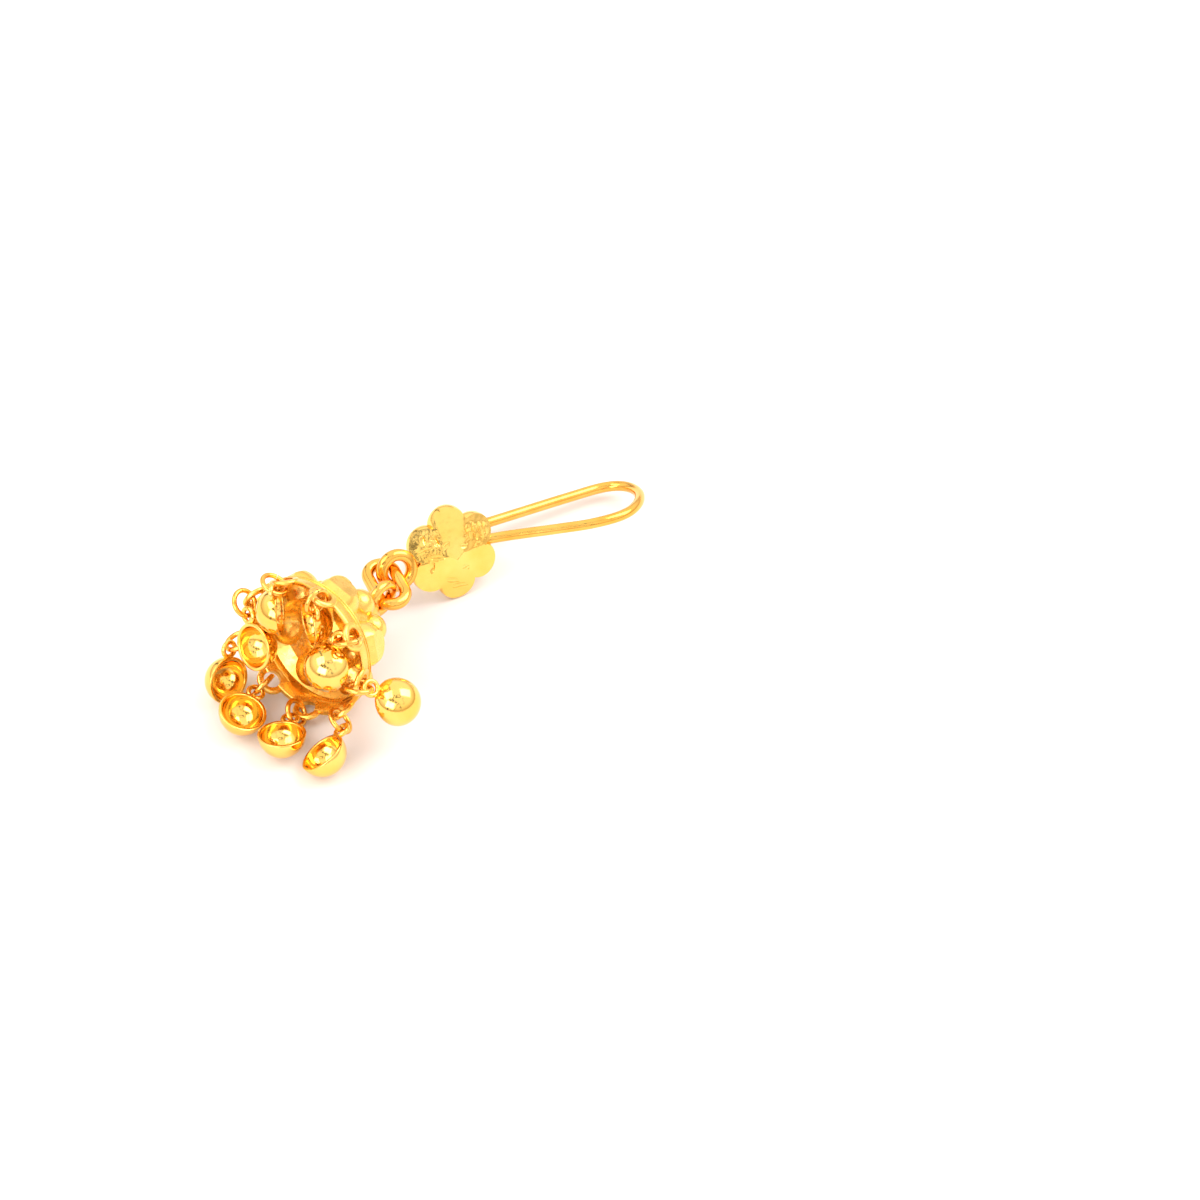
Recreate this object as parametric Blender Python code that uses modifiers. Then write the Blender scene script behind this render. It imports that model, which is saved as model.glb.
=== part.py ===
"""A cluster drop earring, lying on a table: ear hook, flower cluster, link, bell and nine drop cups."""

import math

import bmesh
import bpy
from mathutils import Matrix, Vector

MM = 0.001

# Ear hook
HOOK_WIRE = 0.9 * MM
HOOK_REACH = 18.1 * MM  # from the cluster's centre to the wire's middle in the bend
HOOK_FRONT = 4.2 * MM  # how far the front strand bulges before the cluster's back
HOOK_BEHIND = 3.25 * MM  # from the cluster's back to the middle of the back strand
HOOK_TAIL = 1.3 * MM  # how far the free end runs past the cluster's centre
HOOK_SINK = 0.2 * MM  # how deep the wire's middle lies behind the cluster's back

# Flower cluster
PETALS = 6
PETAL_RADIUS = 1.7 * MM
PETAL_CIRCLE = 2.5 * MM
CORE_RADIUS = 2.3 * MM
CORE_LIFT = 0.35 * MM
PETAL_LIFT = 0.35 * MM

# The flats cut across the cluster's front, one over each petal and its share of the core: how far each
# leans outwards, in degrees, and its height above the back at the centre, as a share of the core's radius
FLOWER_FLATS = (
    # lean, height
    (15, 0.78),
    (11, 0.72),
    (17, 0.80),
    (15, 0.78),
    (18, 0.82),
    (14, 0.77),
)

# Flower ring
FLOWER_RING_OUTER = 3.8 * MM
FLOWER_RING_WIRE = 1.05 * MM
FLOWER_RING_SINK = 0.2 * MM  # how far the ring runs into the two petals beside it
FLOWER_RING_RISE = 0.85 * MM  # from the cluster's back to the ring's plane

# Connecting link
LINK_LENGTH = 5.6 * MM
LINK_WIDTH = 3.4 * MM
LINK_WIRE = 1.05 * MM
LINK_PLAY = 0.35 * MM

# Bell: depths are measured from the plane of its mouth
BELL_LOOP_OUTER = 3.5 * MM
BELL_LOOP_WIRE = 0.9 * MM
BELL_LOOP_SINK = 0.35 * MM
CAP_RADIUS = 2.35 * MM
CAP_HEIGHT = 2.7 * MM
CAP_WALL = 0.45 * MM
CAP_DEPTH = 7.1 * MM
SMALL_BALLS = 8
SMALL_RADIUS = 1.28 * MM
SMALL_CIRCLE = 3.05 * MM
SMALL_DEPTH = 6.3 * MM
LARGE_BALLS = 6
LARGE_RADIUS = 2.0 * MM
LARGE_CIRCLE = 4.25 * MM
LARGE_DEPTH = 3.6 * MM
LARGE_CUT = 0.42 * MM  # how far the two flat facets of a large ball cut in
LARGE_FACET_LEAN = 17.0
BALL_WALL = 0.4 * MM
DOME_WALL = 0.35 * MM  # the sheet between and behind the balls
DOME_LAP = 0.3 * MM  # how far the sheet runs on into the band and into the cap
BAND_TOP_RADIUS = 5.9 * MM
BAND_MOUTH_RADIUS = 6.6 * MM
BAND_TOP_DEPTH = 2.75 * MM
BAND_EDGE_DEPTH = 1.3 * MM
BAND_WALL = 0.45 * MM
EYELETS = 9
EYELET_RADIUS = 0.72 * MM
LOBE_RADIUS = 1.3 * MM
BALL_TURN = 20.0
EYELET_TURN = 0.0

# Drops
JUMP_OUTER = 2.6 * MM
JUMP_WIRE = 0.44 * MM
CUP_RADIUS = 2.05 * MM
CUP_WALL = 0.3 * MM
EYE_OUTER = 1.65 * MM
EYE_WIRE = 0.42 * MM
EYE_SINK = 0.2 * MM
RING_PULL = 0.08  # how far a jump ring is pulled off the middle of its lobe, as a share of its size

# How it lies, in degrees
HOOK_LEAN = 26.0
HOOK_PITCH = 4.0
LINK_TOUCH = 7.0  # how far round the flower ring, below its far side, the link sits
LINK_HEADING = -93.0
LINK_ROLL = 2.0
BELL_HEADING = -156.0
BELL_PITCH = 12.0
BELL_REST = 0.25 * MM  # how far the jump rings under the bell's edge keep it off the table

# The drops' poses: where the ring leads, where the cup hangs from it, and which way the cup's mouth faces.
# ring_turn swings the jump ring round its own lead, and ring_lift shifts it across its lead by a share of
# its size. A cup marked as lying rests on the table.
DROPS = (
    # eyelet, ring_heading, ring_pitch, cup_heading, cup_pitch, mouth_heading, mouth_pitch, ring_turn,
    # ring_lift, lies
    (0, -10, -15, -30, -35, 125, -20, -25, 0.08, False),
    (1, 115, -30, -160, -55, 20, 50, 5, -0.09, False),
    (2, -140, -80, 90, -65, -155, 50, 10, -0.03, False),
    (3, -125, 10, 15, -80, -25, -35, 0, 0.05, False),
    (4, -95, -40, -100, -45, -155, 5, -5, 0.13, False),
    (5, -160, -10, -125, 0, -40, 55, 85, 0.11, True),
    (6, -150, 5, -140, 0, -130, 35, 40, -0.15, True),
    (7, -145, 15, -130, 0, 80, 80, 65, -0.18, True),
    (8, -110, 0, -150, 0, 165, 40, -40, -0.14, True),
)


# Points nearer than this are one point
WELD = 0.001 * MM


def direction(heading, pitch):
    """The unit vector at a heading from +X and a pitch above the table, both in degrees."""
    level = math.cos(math.radians(pitch))
    turn = math.radians(heading)
    return Vector((level * math.cos(turn), level * math.sin(turn), math.sin(math.radians(pitch))))


def polar(radius, degrees, height=0.0):
    turn = math.radians(degrees)
    return Vector((radius * math.cos(turn), radius * math.sin(turn), height))


def pose(origin, x_axis, z_axis):
    """A placement whose local Z is z_axis and whose local X lies as near x_axis as it can."""
    z_unit = z_axis.normalized()
    x_unit = (x_axis - x_axis.dot(z_unit) * z_unit).normalized()
    columns = Matrix((x_unit, z_unit.cross(x_unit), z_unit)).transposed()
    return Matrix.Translation(origin) @ columns.to_4x4()


def collection(name):
    made = bpy.data.collections.new(name)
    bpy.context.scene.collection.children.link(made)
    return made


def link_to(obj, home):
    for owner in list(obj.users_collection):
        owner.objects.unlink(obj)
    home.objects.link(obj)


def from_bmesh(name, bm):
    mesh = bpy.data.meshes.new(name)
    bm.to_mesh(mesh)
    bm.free()
    obj = bpy.data.objects.new(name, mesh)
    bpy.context.scene.collection.objects.link(obj)
    return obj


def settled(obj):
    """The object with its modifiers, or its curve, made into a plain closed mesh."""
    bpy.context.view_layer.update()
    evaluated = obj.evaluated_get(bpy.context.evaluated_depsgraph_get())
    mesh = bpy.data.meshes.new_from_object(evaluated)
    bm = bmesh.new()
    bm.from_mesh(mesh)
    bmesh.ops.remove_doubles(bm, verts=bm.verts, dist=WELD)
    bm.to_mesh(mesh)
    bm.free()
    plain = bpy.data.objects.new(obj.name, mesh)
    bpy.context.scene.collection.objects.link(plain)
    plain.matrix_world = obj.matrix_world
    bpy.data.objects.remove(obj)
    return plain


def ball(name, radius, centre, segments, rings, facing=Vector((0, 0, 1)), spin=0.0):
    """A ball whose poles lie along facing, turned about them by spin degrees."""
    bm = bmesh.new()
    bmesh.ops.create_uvsphere(bm, u_segments=segments, v_segments=rings, radius=radius)
    turn = Vector((0, 0, 1)).rotation_difference(facing).to_matrix().to_4x4()
    turn = turn @ Matrix.Rotation(math.radians(spin), 4, "Z")
    bmesh.ops.transform(bm, matrix=Matrix.Translation(centre) @ turn, verts=bm.verts)
    return from_bmesh(name, bm)


def rod(name, radius, length, centre, facing, sides):
    bm = bmesh.new()
    bmesh.ops.create_cone(
        bm, cap_ends=True, segments=sides, radius1=radius, radius2=radius, depth=length
    )
    bmesh.ops.transform(bm, matrix=pose(centre, Vector((0.1, 0.2, 1)), facing), verts=bm.verts)
    return from_bmesh(name, bm)


def wire_ring(name, outer, wire, place, segments, sides):
    """A round ring of wire in the local XY plane of its place."""
    bpy.ops.mesh.primitive_torus_add(
        major_radius=(outer - wire) / 2,
        minor_radius=wire / 2,
        major_segments=segments,
        minor_segments=sides,
    )
    ring = bpy.context.active_object
    ring.name = name
    ring.data.transform(place)
    return ring


def turned(name, profile, steps, closed):
    """A turned shape: the profile's points are (radius, height), down the outer side."""
    bm = bmesh.new()
    points = [bm.verts.new((radius, 0, height)) for radius, height in profile]
    ends = points[1:] + points[:1] if closed else points[1:]
    for start, end in zip(points, ends):
        bm.edges.new((start, end))
    obj = from_bmesh(name, bm)
    screw = obj.modifiers.new("turn", "SCREW")
    screw.steps = steps
    screw.render_steps = steps
    screw.use_merge_vertices = True
    screw.merge_threshold = 0.00001
    return settled(obj)


def wire_tube(name, points, wire, sides_setting, cyclic=False):
    curve = bpy.data.curves.new(name, "CURVE")
    curve.dimensions = "3D"
    curve.bevel_depth = wire / 2
    curve.bevel_resolution = sides_setting
    curve.use_fill_caps = True
    spline = curve.splines.new("POLY")
    spline.points.add(len(points) - 1)
    for slot, point in zip(spline.points, points):
        slot.co = (*point, 1)
    spline.use_cyclic_u = cyclic
    obj = bpy.data.objects.new(name, curve)
    bpy.context.scene.collection.objects.link(obj)
    return settled(obj)


def cut_flat(obj, point, normal):
    """Takes off what lies past a plane and closes the cut."""
    bm = bmesh.new()
    bm.from_mesh(obj.data)
    everything = bm.verts[:] + bm.edges[:] + bm.faces[:]
    cut = bmesh.ops.bisect_plane(
        bm, geom=everything, plane_co=point, plane_no=normal, clear_outer=True
    )
    edges = [item for item in cut["geom_cut"] if isinstance(item, bmesh.types.BMEdge)]
    bmesh.ops.holes_fill(bm, edges=edges)
    bm.to_mesh(obj.data)
    bm.free()


def fused(name, pieces, cutters, helpers):
    """One body: the pieces joined, less the cutters."""
    body = pieces[0]
    for operation, others in (("UNION", pieces[1:]), ("DIFFERENCE", cutters)):
        for other in others:
            link_to(other, helpers)
            other.hide_render = True
            other.display_type = "WIRE"
            step = body.modifiers.new(other.name, "BOOLEAN")
            step.operation = operation
            step.object = other
    body = settled(body)
    body.name = name
    for other in pieces[1:] + cutters:
        bpy.data.objects.remove(other)
    return body


def smooth_route(points, steps):
    """Points along a smooth curve through the given ones (Catmull-Rom)."""
    padded = [2 * points[0] - points[1], *points, 2 * points[-1] - points[-2]]
    route = []
    for index in range(len(points) - 1):
        before, start, end, after = padded[index : index + 4]
        for step in range(steps):
            t = step / steps
            route.append(
                0.5
                * (
                    2 * start
                    + (end - before) * t
                    + (2 * before - 5 * start + 4 * end - after) * t**2
                    + (3 * start - before - 3 * end + after) * t**3
                )
            )
    return [*route, points[-1]]


# The hook's route in the plane across the cluster: shares of the reach, and of the strands' spread
# from the back strand forwards
HOOK_ROUTE = (
    # along, across
    (0.50, 0.800),
    (0.65, 0.955),
    (0.80, 0.990),
    (0.91, 0.840),
    (0.985, 0.540),
    (0.985, 0.220),
    (0.90, 0.030),
    (0.70, 0.000),
    (0.40, 0.000),
)


def make_hook():
    spread = HOOK_FRONT + HOOK_BEHIND
    root = Vector((0.25 * PETAL_CIRCLE, 0, -HOOK_SINK))
    leave = Vector((PETAL_CIRCLE + PETAL_RADIUS, 0, HOOK_WIRE / 2))
    route = [root, leave]
    for along, across in HOOK_ROUTE:
        route.append(Vector((along * HOOK_REACH, 0, across * spread - HOOK_BEHIND)))
    route.append(Vector((-HOOK_TAIL, 0, -HOOK_BEHIND)))
    return wire_tube("hook_wire", smooth_route(route, 4), HOOK_WIRE, 2)


def make_petals():
    """The core and the petals round it, turned apart so that no two mirror each other."""
    petals = [ball("core", CORE_RADIUS, Vector((0, 0, CORE_LIFT)), 14, 8, direction(70, 76), 5)]
    for index in range(PETALS):
        turn = (index + 0.5) * 360 / PETALS
        centre = polar(PETAL_CIRCLE, turn, PETAL_LIFT)
        facing = direction(turn, 66)
        petals.append(ball(f"petal_{index}", PETAL_RADIUS, centre, 12, 8, facing, 7 + 11 * index))
    return petals


def make_cluster(helpers):
    """The petals and core as one piece, with a flat back and flats cut across the front."""
    bm = bmesh.new()
    bmesh.ops.create_cube(bm, size=1)
    reach = 4 * (PETAL_CIRCLE + PETAL_RADIUS)
    place = Matrix.Translation((0, 0, -reach / 2)) @ Matrix.Diagonal((reach, reach, reach, 1))
    bmesh.ops.transform(bm, matrix=place, verts=bm.verts)
    cluster = fused("cluster", make_petals(), [from_bmesh("behind", bm)], helpers)
    for index, (lean, height) in enumerate(FLOWER_FLATS):
        turn = (index + 0.5) * 360 / PETALS
        cut_flat(cluster, Vector((0, 0, height * CORE_RADIUS)), direction(turn, 90 - lean))
    return cluster


def flower_ring_distance():
    """From the cluster's centre to the ring's, where the ring nestles between two petals."""
    across = PETAL_CIRCLE * math.sin(math.pi / PETALS)
    touch = PETAL_RADIUS + FLOWER_RING_OUTER / 2 - FLOWER_RING_SINK
    return PETAL_CIRCLE * math.cos(math.pi / PETALS) + math.sqrt(touch**2 - across**2)


def make_hook_and_flower(helpers):
    centre = Vector((-flower_ring_distance(), 0, FLOWER_RING_RISE))
    ring = wire_ring(
        "flower_ring", FLOWER_RING_OUTER, FLOWER_RING_WIRE, Matrix.Translation(centre), 16, 6
    )
    return fused("ear_hook_and_flower", [make_cluster(helpers), ring, make_hook()], [], helpers)


def make_link():
    """An oval of wire in its XY plane, long along X."""
    straight = (LINK_LENGTH - LINK_WIDTH) / 2
    round_end = (LINK_WIDTH - LINK_WIRE) / 2
    points = []
    for side, start in ((1, -90), (-1, 90)):
        for step in range(8):
            bend = polar(round_end, start + 180 * step / 7)
            points.append(bend + Vector((side * straight, 0, 0)))
    return wire_tube("connecting_link", points, LINK_WIRE, 1, cyclic=True)


def loop_depth():
    return CAP_DEPTH + CAP_HEIGHT + BELL_LOOP_OUTER / 2 - BELL_LOOP_SINK


def make_cap():
    top = -CAP_DEPTH - CAP_HEIGHT
    foot = (0.0, -CAP_DEPTH + CAP_WALL)
    dome = [foot, (CAP_RADIUS, -CAP_DEPTH + CAP_WALL)]
    for step in range(5):
        angle = math.radians(18 * step)
        dome.append((CAP_RADIUS * math.cos(angle), -CAP_DEPTH - CAP_HEIGHT * math.sin(angle)))
    return turned("cap", [*dome, (0.0, top)], 20, closed=False)


def inner_wall():
    """The bell's inner wall, (radius, height) from the band to the cap."""
    return (
        (BAND_TOP_RADIUS - BAND_WALL - 0.1 * MM, -BAND_TOP_DEPTH),
        (LARGE_CIRCLE + 0.1 * MM, -LARGE_DEPTH),
        (SMALL_CIRCLE - 0.1 * MM, -SMALL_DEPTH),
        (CAP_RADIUS - CAP_WALL, -CAP_DEPTH),
    )


def make_dome():
    """The sheet that closes the bell between its balls, solid until the hollow is taken out of it."""
    wall = [(radius + DOME_WALL, height) for radius, height in inner_wall()]
    mouth_side = wall[0][1] + DOME_LAP
    cap_side = wall[-1][1] - DOME_LAP
    profile = (
        (0.0, mouth_side),
        (wall[0][0], mouth_side),
        *wall,
        (wall[-1][0], cap_side),
        (0.0, cap_side),
    )
    return turned("dome", profile, 24, closed=False)


def make_hollow():
    """What the bell's inside takes away, up into the cap."""
    wall = inner_wall()
    top = -CAP_DEPTH - CAP_HEIGHT + CAP_WALL
    profile = (
        (0.0, LOBE_RADIUS),
        (wall[0][0], LOBE_RADIUS),
        *wall,
        (0.72 * (CAP_RADIUS - CAP_WALL), 0.6 * top - 0.4 * CAP_DEPTH),
        (0.0, top),
    )
    return turned("hollow", profile, 24, closed=False)


def faceted_ball(name, centre, outwards):
    """A ball with two flat facets that meet in a ridge across its front."""
    made = ball(name, LARGE_RADIUS, centre, 14, 8)
    for lean in (-LARGE_FACET_LEAN, LARGE_FACET_LEAN):
        up = math.sin(math.radians(lean))
        facing = (outwards * math.cos(math.radians(lean)) + Vector((0, 0, up))).normalized()
        cut_flat(made, centre + outwards * (LARGE_RADIUS - LARGE_CUT), facing)
    return made


def ball_rows():
    """(outer balls, hollows inside them)."""
    balls = []
    hollows = []
    for index in range(LARGE_BALLS):
        turn = BALL_TURN + index * 360 / LARGE_BALLS
        centre = polar(LARGE_CIRCLE, turn, -LARGE_DEPTH)
        inner = polar(LARGE_CIRCLE - LARGE_CUT, turn, -LARGE_DEPTH)
        balls.append(faceted_ball(f"large_ball_{index}", centre, polar(1, turn)))
        inner_radius = LARGE_RADIUS - BALL_WALL
        hollows.append(ball(f"large_hollow_{index}", inner_radius, inner, 10, 6, polar(1, turn)))
    for index in range(SMALL_BALLS):
        turn = BALL_TURN + index * 360 / SMALL_BALLS
        centre = polar(SMALL_CIRCLE, turn, -SMALL_DEPTH)
        balls.append(ball(f"small_ball_{index}", SMALL_RADIUS, centre, 10, 6))
        inner_radius = SMALL_RADIUS - BALL_WALL
        hollows.append(ball(f"small_hollow_{index}", inner_radius, centre, 8, 4))
    return balls, hollows


def band_radius(depth):
    """The band's outer radius, flared from its top to the mouth."""
    share = depth / BAND_TOP_DEPTH
    return BAND_MOUTH_RADIUS + (BAND_TOP_RADIUS - BAND_MOUTH_RADIUS) * share


def band_slope():
    """The unit direction down the band's flare, as (outwards, mouthwards)."""
    flare = BAND_MOUTH_RADIUS - BAND_TOP_RADIUS
    length = math.hypot(flare, BAND_TOP_DEPTH)
    return flare / length, BAND_TOP_DEPTH / length


def make_band():
    edge = band_radius(BAND_EDGE_DEPTH)
    profile = (
        (edge, -BAND_EDGE_DEPTH),
        (BAND_TOP_RADIUS, -BAND_TOP_DEPTH),
        (BAND_TOP_RADIUS - BAND_WALL, -BAND_TOP_DEPTH),
        (edge - BAND_WALL, -BAND_EDGE_DEPTH),
    )
    return turned("band", profile, 45, closed=True)


def eyelet_centre(index):
    """An eyelet's centre, in the middle of the band's wall."""
    middle = band_radius(LOBE_RADIUS) - BAND_WALL / 2
    return polar(middle, EYELET_TURN + index * 360 / EYELETS, -LOBE_RADIUS)


def eyelet_axes(index):
    """(down the lobe, out of the wall) at an eyelet."""
    outwards, mouthwards = band_slope()
    radial = polar(1, EYELET_TURN + index * 360 / EYELETS)
    down = radial * outwards + Vector((0, 0, mouthwards))
    return down, radial * mouthwards - Vector((0, 0, outwards))


def make_bell(helpers):
    balls, hollows = ball_rows()
    lobes = []
    holes = []
    for index in range(EYELETS):
        centre = eyelet_centre(index)
        facing = eyelet_axes(index)[1]
        lobes.append(rod(f"lobe_{index}", LOBE_RADIUS, 0.9 * BAND_WALL, centre, facing, 12))
        holes.append(rod(f"hole_{index}", EYELET_RADIUS, 4 * BAND_WALL, centre, facing, 10))
    loop_place = pose(Vector((0, 0, -loop_depth())), Vector((0, 0, 1)), Vector((1, 0, 0)))
    loop = wire_ring("bell_loop", BELL_LOOP_OUTER, BELL_LOOP_WIRE, loop_place, 14, 6)
    shell = fused("shell", [make_cap(), make_dome(), *balls], [make_hollow(), *hollows], helpers)
    return fused("bell", [shell, make_band(), *lobes, loop], holes, helpers)


def eye_offset():
    """From a cup's centre to its eye's."""
    return CUP_RADIUS + EYE_OUTER / 2 - EYE_SINK


def make_cup(helpers):
    """A thin half ball with its mouth up and a soldered eye at its edge, on +X."""
    profile = []
    for step in range(5):
        angle = math.radians(22.5 * step)
        profile.append((CUP_RADIUS * math.cos(angle), -CUP_RADIUS * math.sin(angle)))
    inner = CUP_RADIUS - CUP_WALL
    for step in range(4, -1, -1):
        angle = math.radians(22.5 * step)
        profile.append((inner * math.cos(angle), -inner * math.sin(angle)))
    shell = turned("cup_shell", [*profile, profile[0]], 14, closed=False)
    place = Matrix.Translation((eye_offset(), 0, -EYE_WIRE / 2))
    eye = wire_ring("cup_eye", EYE_OUTER, EYE_WIRE, place, 10, 5)
    return fused("drop_cup", [shell, eye], [], helpers)


def lowest(obj, turn):
    return min((turn @ vertex.co).z for vertex in obj.data.vertices)


def gold(name):
    material = bpy.data.materials.new(name)
    material.use_nodes = True
    shader = material.node_tree.nodes["Principled BSDF"]
    shader.inputs["Base Color"].default_value = (0.98, 0.62, 0.16, 1)
    shader.inputs["Metallic"].default_value = 1.0
    shader.inputs["Roughness"].default_value = 0.14
    return material


def finish(obj, name, place, home, root):
    obj.name = name
    link_to(obj, home)
    obj.matrix_world = place
    obj.parent = root
    obj.data.materials.clear()
    obj.data.materials.append(gold(f"gold_{name}"))
    obj.data.shade_smooth()
    obj.data.set_sharp_from_angle(angle=math.radians(35))


def place_hook(hook):
    along = direction(0, -HOOK_PITCH)
    front = direction(-90, HOOK_LEAN)
    turn = pose(Vector(), along, front - front.dot(along) * along)
    return Matrix.Translation((0, 0, -lowest(hook, turn))) @ turn


def place_bell(bell, hook_place):
    """(the bell's placement, the link's): the link hangs between the two rings it passes through."""
    ring = hook_place @ Vector((-flower_ring_distance(), 0, FLOWER_RING_RISE))
    hook_turn = hook_place.to_3x3()
    ring_wire = (FLOWER_RING_OUTER - FLOWER_RING_WIRE) / 2
    ring_wire = ring + hook_turn @ polar(ring_wire, 180 + LINK_TOUCH)
    mouth = direction(BELL_HEADING, BELL_PITCH)
    level = Vector((0, 0, 1)).cross(mouth)
    turn = pose(Vector(), level, mouth)
    height = BELL_REST - lowest(bell, turn)
    loop_wire = (BELL_LOOP_OUTER - BELL_LOOP_WIRE) / 2
    loop_top = height - (loop_depth() + loop_wire) * mouth.z
    near = (FLOWER_RING_WIRE + LINK_WIRE) / 2 + LINK_PLAY
    far = (BELL_LOOP_WIRE + LINK_WIRE) / 2 + LINK_PLAY
    span = LINK_LENGTH - LINK_WIRE - near - far
    lead = direction(LINK_HEADING, math.degrees(math.asin((loop_top - ring_wire.z) / span)))
    loop_top_point = ring_wire + lead * span
    origin = loop_top_point + mouth * (loop_depth() + loop_wire)
    middle = (ring_wire - lead * near + loop_top_point + lead * far) / 2
    upright = hook_turn @ Vector((0, 1, 0))
    upright = Matrix.Rotation(math.radians(LINK_ROLL), 3, lead) @ upright
    return Matrix.Translation(origin) @ turn, pose(middle, lead, upright - upright.dot(lead) * lead)


def place_drop(bell_place, row):
    """(the jump ring's placement, the cup's) for a row of DROPS."""
    eyelet, ring_heading, ring_pitch, cup_heading, cup_pitch = row[:5]
    mouth_heading, mouth_pitch, ring_turn, ring_lift, lies = row[5:]
    down = eyelet_axes(eyelet)[0]
    web = eyelet_centre(eyelet) + down * (EYELET_RADIUS + LOBE_RADIUS) / 2
    web = bell_place @ web
    down = bell_place.to_3x3() @ down
    jump_wire = (JUMP_OUTER - JUMP_WIRE) / 2
    lead = direction(ring_heading, ring_pitch)
    across = lead.cross(down).normalized()
    across = Matrix.Rotation(math.radians(ring_turn), 3, lead) @ across
    ring_centre = web + (lead * RING_PULL + across.cross(lead) * ring_lift) * JUMP_OUTER
    eye = ring_centre + lead * jump_wire
    if lies:  # a cup whose eye is too high to let it reach the table hangs straight down
        reach = (CUP_RADIUS - eye.z) / eye_offset()
        cup_pitch = math.degrees(math.asin(max(reach, -1.0)))
    hang = direction(cup_heading, cup_pitch)
    mouth = direction(mouth_heading, mouth_pitch)
    mouth = mouth - mouth.dot(hang) * hang
    cup = pose(eye + hang * eye_offset(), -hang, mouth)
    cup = cup @ Matrix.Translation((0, 0, EYE_WIRE / 2))
    return pose(ring_centre, lead, across), cup


def centre_on_table(root, parts):
    """Moves the whole so that the middle of its box's foot is the origin."""
    bpy.context.view_layer.update()
    corners = [obj.matrix_world @ vertex.co for obj in parts for vertex in obj.data.vertices]
    low = [min(point[axis] for point in corners) for axis in range(3)]
    high = [max(point[axis] for point in corners) for axis in range(2)]
    root.location = (-(low[0] + high[0]) / 2, -(low[1] + high[1]) / 2, -low[2])


def main():
    for old in list(bpy.data.objects):
        bpy.data.objects.remove(old)
    home = collection("cluster_drop_earring")
    helpers = collection("helpers")
    root = bpy.data.objects.new("earring", None)
    home.objects.link(root)

    hook = make_hook_and_flower(helpers)
    bell = make_bell(helpers)
    link = make_link()
    hook_place = place_hook(hook)
    bell_place, link_place = place_bell(bell, hook_place)
    finish(hook, "ear_hook_and_flower", hook_place, home, root)
    finish(link, "connecting_link", link_place, home, root)
    finish(bell, "bell", bell_place, home, root)

    cup_mesh = make_cup(helpers)
    ring_mesh = wire_ring("jump_ring", JUMP_OUTER, JUMP_WIRE, Matrix(), 12, 5)
    parts = [hook, link, bell]
    for number, row in enumerate(DROPS, start=1):
        ring_place, cup_place = place_drop(bell_place, row)
        for pattern, place in ((ring_mesh, ring_place), (cup_mesh, cup_place)):
            copy = bpy.data.objects.new(pattern.name, pattern.data.copy())
            home.objects.link(copy)
            finish(copy, f"{pattern.name}_{number}", place, home, root)
            parts.append(copy)
    bpy.data.objects.remove(cup_mesh)
    bpy.data.objects.remove(ring_mesh)
    centre_on_table(root, parts)


main()
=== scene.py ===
import math

import bmesh
import bpy
from mathutils import Matrix, Vector, noise


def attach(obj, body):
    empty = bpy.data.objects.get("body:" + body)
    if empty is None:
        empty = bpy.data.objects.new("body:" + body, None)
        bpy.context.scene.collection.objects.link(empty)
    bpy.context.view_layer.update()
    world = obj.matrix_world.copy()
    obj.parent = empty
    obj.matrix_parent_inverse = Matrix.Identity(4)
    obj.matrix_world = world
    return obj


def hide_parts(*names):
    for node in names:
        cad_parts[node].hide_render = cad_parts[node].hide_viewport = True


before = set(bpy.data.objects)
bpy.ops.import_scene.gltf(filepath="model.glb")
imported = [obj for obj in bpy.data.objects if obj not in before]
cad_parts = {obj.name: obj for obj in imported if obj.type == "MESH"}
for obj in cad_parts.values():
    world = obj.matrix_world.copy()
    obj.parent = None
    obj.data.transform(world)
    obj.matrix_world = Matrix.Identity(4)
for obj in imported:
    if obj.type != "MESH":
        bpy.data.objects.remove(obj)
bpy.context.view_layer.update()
fine = 2

millimetre = 0.001
weldDistance = 0.0005  # points nearer than this, in millimetres, are one

# where the pieces lie; all sizes below are millimetres and degrees
lie = {
    "flowerCentre": (3.26, 6.722, 3.669),  # middle of the cluster's back
    "hookLean": 26.0,
    "hookPitch": 4.0,
    "bellMouth": (-14.665, -0.906, 6.819),  # middle of the bell's mouth
    "bellHeading": -156.0,
    "bellPitch": 12.0,
    "linkTouch": 7.0,
    "linkRoll": 2.0,
    "linkPlay": 0.35,
}


def direction(heading, pitch):
    level = math.cos(math.radians(pitch))
    turn = math.radians(heading)
    return Vector((level * math.cos(turn), level * math.sin(turn), math.sin(math.radians(pitch))))


def polar(radius, degrees, height=0.0):
    turn = math.radians(degrees)
    return Vector((radius * math.cos(turn), radius * math.sin(turn), height))


def pose(origin, xAxis, zAxis):
    zUnit = zAxis.normalized()
    xUnit = (xAxis - xAxis.dot(zUnit) * zUnit).normalized()
    columns = Matrix((xUnit, zUnit.cross(xUnit), zUnit)).transposed()
    return Matrix.Translation(origin) @ columns.to_4x4()


def closedMesh(bm, place=Matrix()):
    # every shape is closed, and in millimetres until it is finished
    bmesh.ops.remove_doubles(bm, verts=bm.verts, dist=weldDistance)
    bmesh.ops.recalc_face_normals(bm, faces=bm.faces)
    bmesh.ops.transform(bm, matrix=place, verts=bm.verts)
    mesh = bpy.data.meshes.new("shape")
    bm.to_mesh(mesh)
    bm.free()
    return mesh


def ballMesh(radius, place=Matrix(), segments=24):
    bm = bmesh.new()
    bmesh.ops.create_uvsphere(
        bm, u_segments=segments * fine, v_segments=segments * fine // 2, radius=radius
    )
    return closedMesh(bm, place)


def rodMesh(radius, length, place, segments=48):
    bm = bmesh.new()
    bmesh.ops.create_cone(
        bm, cap_ends=True, segments=segments, radius1=radius, radius2=radius, depth=length
    )
    return closedMesh(bm, place)


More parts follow.
